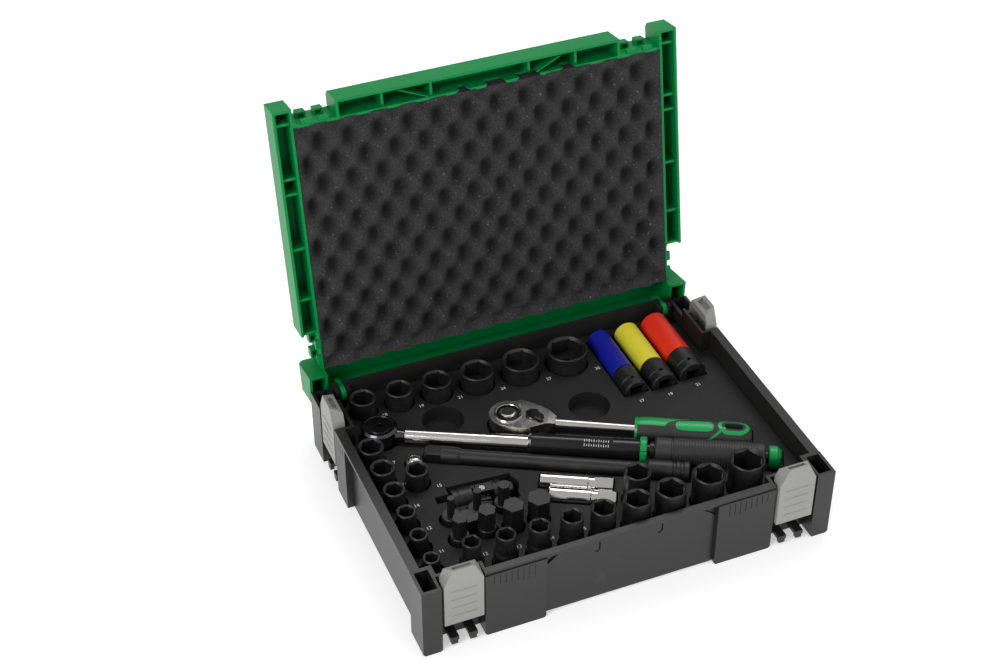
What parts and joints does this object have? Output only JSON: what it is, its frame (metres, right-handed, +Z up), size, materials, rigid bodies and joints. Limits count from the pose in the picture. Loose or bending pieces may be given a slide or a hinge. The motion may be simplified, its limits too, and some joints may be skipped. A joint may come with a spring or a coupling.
{
  "type": "socket wrench set in case",
  "caption": "Hinged stackable tool case standing open, with impact sockets, hex bits, ratchet, torque wrench and drive tools in a foam tray.",
  "frame": {"origin": "centre of the case's footprint, on the surface that it stands on", "axes": "+Z up, +X to the right along the case's length, +Y to the hinge side"},
  "size_m": [0.3958, 0.3783, 0.3418],
  "materials": {
    "case_plastic": "dark grey-black moulded ABS, fine grain",
    "lid_plastic": "green moulded ABS, fine grain",
    "handle_plastic": "green moulded ABS",
    "lid_foam": "charcoal egg-crate foam",
    "tray_foam": "dense black EVA foam, matt",
    "latch_plastic": "light warm grey moulded ABS",
    "steel_pin": "plain steel",
    "chrome": "polished chrome plate",
    "steel_screw": "dark screws",
    "grip_plastic": "black grip with green edges",
    "knurled_grip": "black knurled sleeve",
    "green_trim": "green anodised trim",
    "black_steel": "black phosphate impact steel",
    "sleeve_blue": "blue plastic sleeve",
    "sleeve_yellow": "yellow plastic sleeve",
    "sleeve_red": "red plastic sleeve"
  },
  "bodies": {
    "case": {"base_shell": "case_plastic", "tool_tray": "tray_foam", "hinge_pins": "steel_pin"},
    "lid": {"lid_shell": "lid_plastic", "lid_foam": "lid_foam"},
    "handle": {"carry_handle": "handle_plastic"},
    "latch_front_left": {"latch_front_left": "latch_plastic"},
    "latch_front_right": {"latch_front_right": "latch_plastic"},
    "latch_side_left": {"latch_side_left": "latch_plastic"},
    "latch_side_right": {"latch_side_right": "latch_plastic"},
    "ratchet": {"ratchet_body": "chrome", "ratchet_screws": "steel_screw", "ratchet_grip": "grip_plastic"},
    "ratchet_drive": {"ratchet_drive": "chrome"},
    "ratchet_button": {"ratchet_button": "chrome"},
    "ratchet_lever": {"ratchet_lever": "chrome"},
    "ratchet_pawl": {"ratchet_pawl": "steel_pin"},
    "torque_wrench": {"torque_head": "chrome", "torque_tube": "chrome"},
    "torque_drive": {"torque_drive": "chrome"},
    "torque_lock_ring": {"torque_lock_ring": "green_trim"},
    "torque_grip": {"torque_grip": "knurled_grip", "torque_end_cap": "green_trim"},
    "universal_joint": {"joint_socket_end": "black_steel"},
    "joint_cross": {"joint_cross": "steel_pin"},
    "joint_square_end": {"joint_square_end": "black_steel"},
    "extension_bar": {"extension_bar": "black_steel"},
    "drive_adapter": {"drive_adapter": "chrome"},
    "wheel_socket_17": {"wheel_socket_17": "black_steel"},
    "wheel_sleeve_17": {"wheel_sleeve_17": "sleeve_blue"},
    "wheel_socket_19": {"wheel_socket_19": "black_steel"},
    "wheel_sleeve_19": {"wheel_sleeve_19": "sleeve_yellow"},
    "wheel_socket_21": {"wheel_socket_21": "black_steel"},
    "wheel_sleeve_21": {"wheel_sleeve_21": "sleeve_red"},
    "spark_socket_upper": {"spark_socket_upper": "chrome"},
    "spark_socket_lower": {"spark_socket_lower": "chrome"},
    "short_socket_18": {"short_socket_18": "black_steel"},
    "short_socket_19": {"short_socket_19": "black_steel"},
    "short_socket_21": {"short_socket_21": "black_steel"},
    "short_socket_24": {"short_socket_24": "black_steel"},
    "short_socket_27": {"short_socket_27": "black_steel"},
    "short_socket_30": {"short_socket_30": "black_steel"},
    "short_socket_17": {"short_socket_17": "black_steel"},
    "short_socket_16": {"short_socket_16": "black_steel"},
    "short_socket_14": {"short_socket_14": "black_steel"},
    "short_socket_12": {"short_socket_12": "black_steel"},
    "short_socket_11": {"short_socket_11": "black_steel"},
    "short_socket_10": {"short_socket_10": "black_steel"},
    "short_socket_15": {"short_socket_15": "black_steel"},
    "deep_socket_12": {"deep_socket_12": "black_steel"},
    "deep_socket_13": {"deep_socket_13": "black_steel"},
    "deep_socket_14": {"deep_socket_14": "black_steel"},
    "deep_socket_15": {"deep_socket_15": "black_steel"},
    "deep_socket_17": {"deep_socket_17": "black_steel"},
    "deep_socket_19": {"deep_socket_19": "black_steel"},
    "deep_socket_21": {"deep_socket_21": "black_steel"},
    "deep_socket_22": {"deep_socket_22": "black_steel"},
    "deep_socket_24": {"deep_socket_24": "black_steel"},
    "deep_socket_18": {"deep_socket_18": "black_steel"},
    "hex_bits": {"hex_bit_sockets": "black_steel"}
  },
  "joints": [
    {"name": "lid_hinge", "type": "hinge", "parent": "case", "child": "lid", "pos_m": [0, 0.139, 0.062], "axis": [-1, 0, 0], "range_deg": [-100, 0]},
    {"name": "handle_hinge", "type": "hinge", "parent": "lid", "child": "handle", "pos_m": [0, 0.20101, 0.19627], "axis": [-1, 0, 0], "range_deg": [0, 95]},
    {"name": "front_left_latch_hinge", "type": "hinge", "parent": "case", "child": "latch_front_left", "pos_m": [-0.1593, -0.1395, 0.036], "axis": [1, 0, 0], "range_deg": [-5, 35]},
    {"name": "front_right_latch_hinge", "type": "hinge", "parent": "case", "child": "latch_front_right", "pos_m": [0.1593, -0.1395, 0.036], "axis": [1, 0, 0], "range_deg": [-5, 35]},
    {"name": "side_left_latch_hinge", "type": "hinge", "parent": "case", "child": "latch_side_left", "pos_m": [-0.1895, 0.098, 0.036], "axis": [0, -1, 0], "range_deg": [-5, 35]},
    {"name": "side_right_latch_hinge", "type": "hinge", "parent": "case", "child": "latch_side_right", "pos_m": [0.1895, 0.098, 0.036], "axis": [0, 1, 0], "range_deg": [-5, 35]},
    {"name": "ratchet_lift", "type": "slide", "parent": "case", "child": "ratchet", "axis": [0, 0, 1], "range_m": [0, 0.06]},
    {"name": "ratchet_drive_spin", "type": "hinge", "parent": "ratchet", "child": "ratchet_drive", "pos_m": [-0.0375, 0.0473, 0.054], "axis": [0, 0, 1], "continuous": true},
    {"name": "release_button_press", "type": "slide", "parent": "ratchet_drive", "child": "ratchet_button", "axis": [0, 0, 1], "range_m": [-0.002, 0], "stiffness_N_per_m": 400, "springref_m": 0.001},
    {"name": "direction_lever_turn", "type": "hinge", "parent": "ratchet", "child": "ratchet_lever", "pos_m": [-0.01727, 0.03636, 0.066], "axis": [0, 0, 1], "range_deg": [0, 36]},
    {"name": "pawl_rock", "type": "hinge", "parent": "ratchet", "child": "ratchet_pawl", "pos_m": [-0.01727, 0.03636, 0.054], "axis": [0, 0, 1], "range_deg": [-4, 40]},
    {"name": "torque_wrench_lift", "type": "slide", "parent": "case", "child": "torque_wrench", "axis": [0, 0, 1], "range_m": [0, 0.06]},
    {"name": "torque_drive_spin", "type": "hinge", "parent": "torque_wrench", "child": "torque_drive", "pos_m": [-0.155, 0.0755, 0.057], "axis": [0, 0, 1], "continuous": true},
    {"name": "lock_ring_pull", "type": "slide", "parent": "torque_wrench", "child": "torque_lock_ring", "axis": [0.8854, -0.4648, 0], "range_m": [0, 0.0024]},
    {"name": "torque_grip_turn", "type": "hinge", "parent": "torque_wrench", "child": "torque_grip", "pos_m": [0.11482, -0.06616, 0.057], "axis": [0.8854, -0.4648, 0], "continuous": true},
    {"name": "universal_joint_lift", "type": "slide", "parent": "case", "child": "universal_joint", "axis": [0, 0, 1], "range_m": [0, 0.06]},
    {"name": "joint_bend_up", "type": "hinge", "parent": "universal_joint", "child": "joint_cross", "pos_m": [-0.094, -0.026, 0.045], "axis": [-0.0698, -0.9976, 0], "range_deg": [0, 20]},
    {"name": "joint_bend_side", "type": "hinge", "parent": "joint_cross", "child": "joint_square_end", "pos_m": [-0.094, -0.026, 0.045], "axis": [0, 0, -1], "range_deg": [0, 15]},
    {"name": "extension_bar_lift", "type": "slide", "parent": "case", "child": "extension_bar", "axis": [0, 0, 1], "range_m": [0, 0.06]},
    {"name": "drive_adapter_lift", "type": "slide", "parent": "case", "child": "drive_adapter", "axis": [0, 0, 1], "range_m": [0, 0.06]},
    {"name": "wheel_socket_17_lift", "type": "slide", "parent": "case", "child": "wheel_socket_17", "axis": [0, 0, 1], "range_m": [0, 0.06]},
    {"name": "wheel_sleeve_17_spin", "type": "hinge", "parent": "wheel_socket_17", "child": "wheel_sleeve_17", "pos_m": [0.0932, 0.086, 0.054], "axis": [0, 1, 0], "continuous": true},
    {"name": "wheel_socket_19_lift", "type": "slide", "parent": "case", "child": "wheel_socket_19", "axis": [0, 0, 1], "range_m": [0, 0.06]},
    {"name": "wheel_sleeve_19_spin", "type": "hinge", "parent": "wheel_socket_19", "child": "wheel_sleeve_19", "pos_m": [0.1226, 0.0845, 0.054], "axis": [0, 1, 0], "continuous": true},
    {"name": "wheel_socket_21_lift", "type": "slide", "parent": "case", "child": "wheel_socket_21", "axis": [0, 0, 1], "range_m": [0, 0.06]},
    {"name": "wheel_sleeve_21_spin", "type": "hinge", "parent": "wheel_socket_21", "child": "wheel_sleeve_21", "pos_m": [0.1537, 0.087, 0.054], "axis": [0, 1, 0], "continuous": true},
    {"name": "spark_socket_upper_lift", "type": "slide", "parent": "case", "child": "spark_socket_upper", "axis": [0, 0, 1], "range_m": [0, 0.06]},
    {"name": "spark_socket_lower_lift", "type": "slide", "parent": "case", "child": "spark_socket_lower", "axis": [0, 0, 1], "range_m": [0, 0.06]},
    {"name": "short_socket_18_lift", "type": "slide", "parent": "case", "child": "short_socket_18", "axis": [0, 0, 1], "range_m": [0, 0.06]},
    {"name": "short_socket_19_lift", "type": "slide", "parent": "case", "child": "short_socket_19", "axis": [0, 0, 1], "range_m": [0, 0.06]},
    {"name": "short_socket_21_lift", "type": "slide", "parent": "case", "child": "short_socket_21", "axis": [0, 0, 1], "range_m": [0, 0.06]},
    {"name": "short_socket_24_lift", "type": "slide", "parent": "case", "child": "short_socket_24", "axis": [0, 0, 1], "range_m": [0, 0.06]},
    {"name": "short_socket_27_lift", "type": "slide", "parent": "case", "child": "short_socket_27", "axis": [0, 0, 1], "range_m": [0, 0.06]},
    {"name": "short_socket_30_lift", "type": "slide", "parent": "case", "child": "short_socket_30", "axis": [0, 0, 1], "range_m": [0, 0.06]},
    {"name": "short_socket_17_lift", "type": "slide", "parent": "case", "child": "short_socket_17", "axis": [0, 0, 1], "range_m": [0, 0.06]},
    {"name": "short_socket_16_lift", "type": "slide", "parent": "case", "child": "short_socket_16", "axis": [0, 0, 1], "range_m": [0, 0.06]},
    {"name": "short_socket_14_lift", "type": "slide", "parent": "case", "child": "short_socket_14", "axis": [0, 0, 1], "range_m": [0, 0.06]},
    {"name": "short_socket_12_lift", "type": "slide", "parent": "case", "child": "short_socket_12", "axis": [0, 0, 1], "range_m": [0, 0.06]},
    {"name": "short_socket_11_lift", "type": "slide", "parent": "case", "child": "short_socket_11", "axis": [0, 0, 1], "range_m": [0, 0.06]},
    {"name": "short_socket_10_lift", "type": "slide", "parent": "case", "child": "short_socket_10", "axis": [0, 0, 1], "range_m": [0, 0.06]},
    {"name": "short_socket_15_lift", "type": "slide", "parent": "case", "child": "short_socket_15", "axis": [0, 0, 1], "range_m": [0, 0.06]},
    {"name": "deep_socket_12_lift", "type": "slide", "parent": "case", "child": "deep_socket_12", "axis": [0, 0, 1], "range_m": [0, 0.06]},
    {"name": "deep_socket_13_lift", "type": "slide", "parent": "case", "child": "deep_socket_13", "axis": [0, 0, 1], "range_m": [0, 0.06]},
    {"name": "deep_socket_14_lift", "type": "slide", "parent": "case", "child": "deep_socket_14", "axis": [0, 0, 1], "range_m": [0, 0.06]},
    {"name": "deep_socket_15_lift", "type": "slide", "parent": "case", "child": "deep_socket_15", "axis": [0, 0, 1], "range_m": [0, 0.06]},
    {"name": "deep_socket_17_lift", "type": "slide", "parent": "case", "child": "deep_socket_17", "axis": [0, 0, 1], "range_m": [0, 0.06]},
    {"name": "deep_socket_19_lift", "type": "slide", "parent": "case", "child": "deep_socket_19", "axis": [0, 0, 1], "range_m": [0, 0.06]},
    {"name": "deep_socket_21_lift", "type": "slide", "parent": "case", "child": "deep_socket_21", "axis": [0, 0, 1], "range_m": [0, 0.06]},
    {"name": "deep_socket_22_lift", "type": "slide", "parent": "case", "child": "deep_socket_22", "axis": [0, 0, 1], "range_m": [0, 0.06]},
    {"name": "deep_socket_24_lift", "type": "slide", "parent": "case", "child": "deep_socket_24", "axis": [0, 0, 1], "range_m": [0, 0.06]},
    {"name": "deep_socket_18_lift", "type": "slide", "parent": "case", "child": "deep_socket_18", "axis": [0, 0, 1], "range_m": [0, 0.06]},
    {"name": "hex_bits_lift", "type": "slide", "parent": "case", "child": "hex_bits", "axis": [0, 0, 1], "range_m": [0, 0.06]}
  ],
  "couplings": [
    {"joint": "pawl_rock", "follows": "direction_lever_turn", "ratio": 1}
  ]
}
